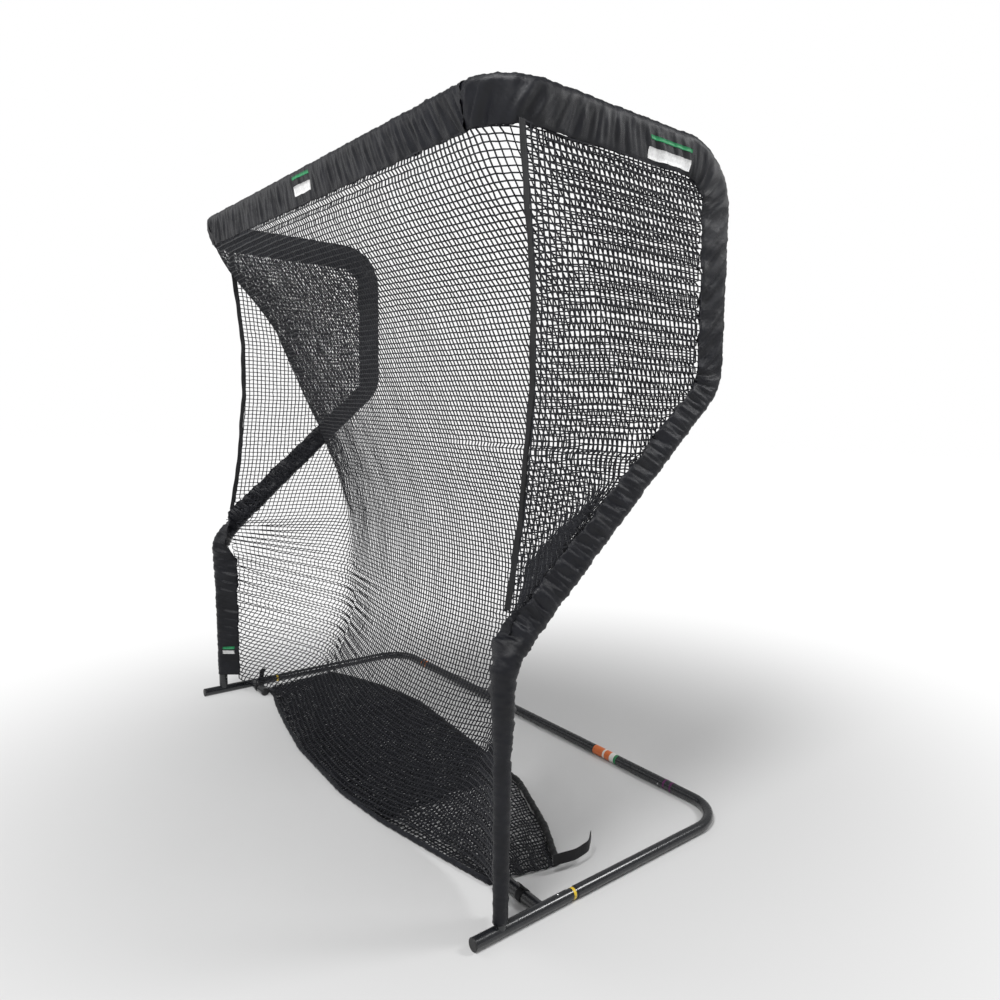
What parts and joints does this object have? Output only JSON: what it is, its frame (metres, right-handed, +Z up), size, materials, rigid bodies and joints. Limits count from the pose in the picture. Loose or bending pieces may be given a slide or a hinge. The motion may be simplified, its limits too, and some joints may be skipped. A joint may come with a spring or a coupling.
{
  "type": "golf practice net",
  "caption": "Free-standing golf hitting net: black steel tube frame with C-shaped sides, fabric sleeves, hanging main net, side nets and a skirt on the floor.",
  "frame": {"origin": "centre of the footprint's bounding box, on the floor", "axes": "+X across the width to the right seen from the golfer, +Y from the open front to the rear floor bar, +Z up"},
  "size_m": [2.44, 1.1, 2.29],
  "materials": {
    "frame_paint": "gloss black powder coat",
    "button_steel": "bright plated steel",
    "spring_steel": "spring steel strip",
    "cap_plastic": "black moulded cap",
    "net_cord": "black knotless polyester netting",
    "sleeve_fabric": "black coated nylon, gathered",
    "webbing": "black woven webbing",
    "hem_fabric": "black rolled netting bound with tape",
    "yellow_mark": "yellow tape",
    "purple_mark": "dark purple tape",
    "orange_mark": "orange tape",
    "label_film": "plain printed film with no text"
  },
  "bodies": {
    "frame": {"button_springs": "spring_steel", "crossbar": "frame_paint", "floor_skirt": "net_cord", "front_edge_roll": "hem_fabric", "hem_strap": "webbing", "label_band": "label_film", "left_back_tube": "frame_paint", "left_edge_webbing": "webbing", "left_foot_spigot": "frame_paint", "left_front_leg": "frame_paint", "left_leg_cap": "cap_plastic", "left_leg_tie": "webbing", "left_lower_upright": "frame_paint", "left_net_peg": "frame_paint", "left_peg_cap": "cap_plastic", "left_peg_tie": "webbing", "left_rear_corner": "frame_paint", "left_side_net": "net_cord", "left_side_sleeve": "sleeve_fabric", "left_top_front_bend": "frame_paint", "left_top_rear_bend": "frame_paint", "main_net": "net_cord", "orange_rings": "orange_mark", "purple_rings": "purple_mark", "rear_bar": "frame_paint", "rear_hem": "hem_fabric", "right_back_tube": "frame_paint", "right_edge_webbing": "webbing", "right_foot_spigot": "frame_paint", "right_front_leg": "frame_paint", "right_leg_cap": "cap_plastic", "right_lower_upright": "frame_paint", "right_net_peg": "frame_paint", "right_peg_cap": "cap_plastic", "right_peg_tie": "webbing", "right_rear_corner": "frame_paint", "right_side_net": "net_cord", "right_side_sleeve": "sleeve_fabric", "right_top_front_bend": "frame_paint", "right_top_rear_bend": "frame_paint", "top_sleeve": "sleeve_fabric", "yellow_rings": "yellow_mark"},
    "left_leg_button": {"left_leg_button": "button_steel"},
    "left_rear_button": {"left_rear_button": "button_steel"},
    "left_foot_button": {"left_foot_button": "button_steel"},
    "left_slope_button": {"left_slope_button": "button_steel"},
    "left_back_button": {"left_back_button": "button_steel"},
    "left_top_button": {"left_top_button": "button_steel"},
    "left_crossbar_button": {"left_crossbar_button": "button_steel"},
    "right_leg_button": {"right_leg_button": "button_steel"},
    "right_rear_button": {"right_rear_button": "button_steel"},
    "right_foot_button": {"right_foot_button": "button_steel"},
    "right_slope_button": {"right_slope_button": "button_steel"},
    "right_back_button": {"right_back_button": "button_steel"},
    "right_top_button": {"right_top_button": "button_steel"},
    "right_crossbar_button": {"right_crossbar_button": "button_steel"}
  },
  "joints": [
    {"name": "left_leg_press", "type": "slide", "parent": "frame", "child": "left_leg_button", "axis": [0, 0, -1], "range_m": [0, 0.005], "stiffness_N_per_m": 1500, "springref_m": -0.002},
    {"name": "left_rear_press", "type": "slide", "parent": "frame", "child": "left_rear_button", "axis": [0, 1, 0], "range_m": [0, 0.005], "stiffness_N_per_m": 1500, "springref_m": -0.002},
    {"name": "left_foot_press", "type": "slide", "parent": "frame", "child": "left_foot_button", "axis": [-0.766, -0.6428, 0], "range_m": [0, 0.005], "stiffness_N_per_m": 1500, "springref_m": -0.002},
    {"name": "left_slope_press", "type": "slide", "parent": "frame", "child": "left_slope_button", "axis": [0, 0.68, -0.7332], "range_m": [0, 0.005], "stiffness_N_per_m": 1500, "springref_m": -0.002},
    {"name": "left_back_press", "type": "slide", "parent": "frame", "child": "left_back_button", "axis": [0, 1, 0], "range_m": [0, 0.005], "stiffness_N_per_m": 1500, "springref_m": -0.002},
    {"name": "left_top_press", "type": "slide", "parent": "frame", "child": "left_top_button", "axis": [0, 0, 1], "range_m": [0, 0.005], "stiffness_N_per_m": 1500, "springref_m": -0.002},
    {"name": "left_crossbar_press", "type": "slide", "parent": "frame", "child": "left_crossbar_button", "axis": [0, 0, 1], "range_m": [0, 0.005], "stiffness_N_per_m": 1500, "springref_m": -0.002},
    {"name": "right_leg_press", "type": "slide", "parent": "frame", "child": "right_leg_button", "axis": [0, 0, -1], "range_m": [0, 0.005], "stiffness_N_per_m": 1500, "springref_m": -0.002},
    {"name": "right_rear_press", "type": "slide", "parent": "frame", "child": "right_rear_button", "axis": [0, 1, 0], "range_m": [0, 0.005], "stiffness_N_per_m": 1500, "springref_m": -0.002},
    {"name": "right_foot_press", "type": "slide", "parent": "frame", "child": "right_foot_button", "axis": [0.766, -0.6428, 0], "range_m": [0, 0.005], "stiffness_N_per_m": 1500, "springref_m": -0.002},
    {"name": "right_slope_press", "type": "slide", "parent": "frame", "child": "right_slope_button", "axis": [0, 0.68, -0.7332], "range_m": [0, 0.005], "stiffness_N_per_m": 1500, "springref_m": -0.002},
    {"name": "right_back_press", "type": "slide", "parent": "frame", "child": "right_back_button", "axis": [0, 1, 0], "range_m": [0, 0.005], "stiffness_N_per_m": 1500, "springref_m": -0.002},
    {"name": "right_top_press", "type": "slide", "parent": "frame", "child": "right_top_button", "axis": [0, 0, 1], "range_m": [0, 0.005], "stiffness_N_per_m": 1500, "springref_m": -0.002},
    {"name": "right_crossbar_press", "type": "slide", "parent": "frame", "child": "right_crossbar_button", "axis": [0, 0, 1], "range_m": [0, 0.005], "stiffness_N_per_m": 1500, "springref_m": -0.002}
  ]
}
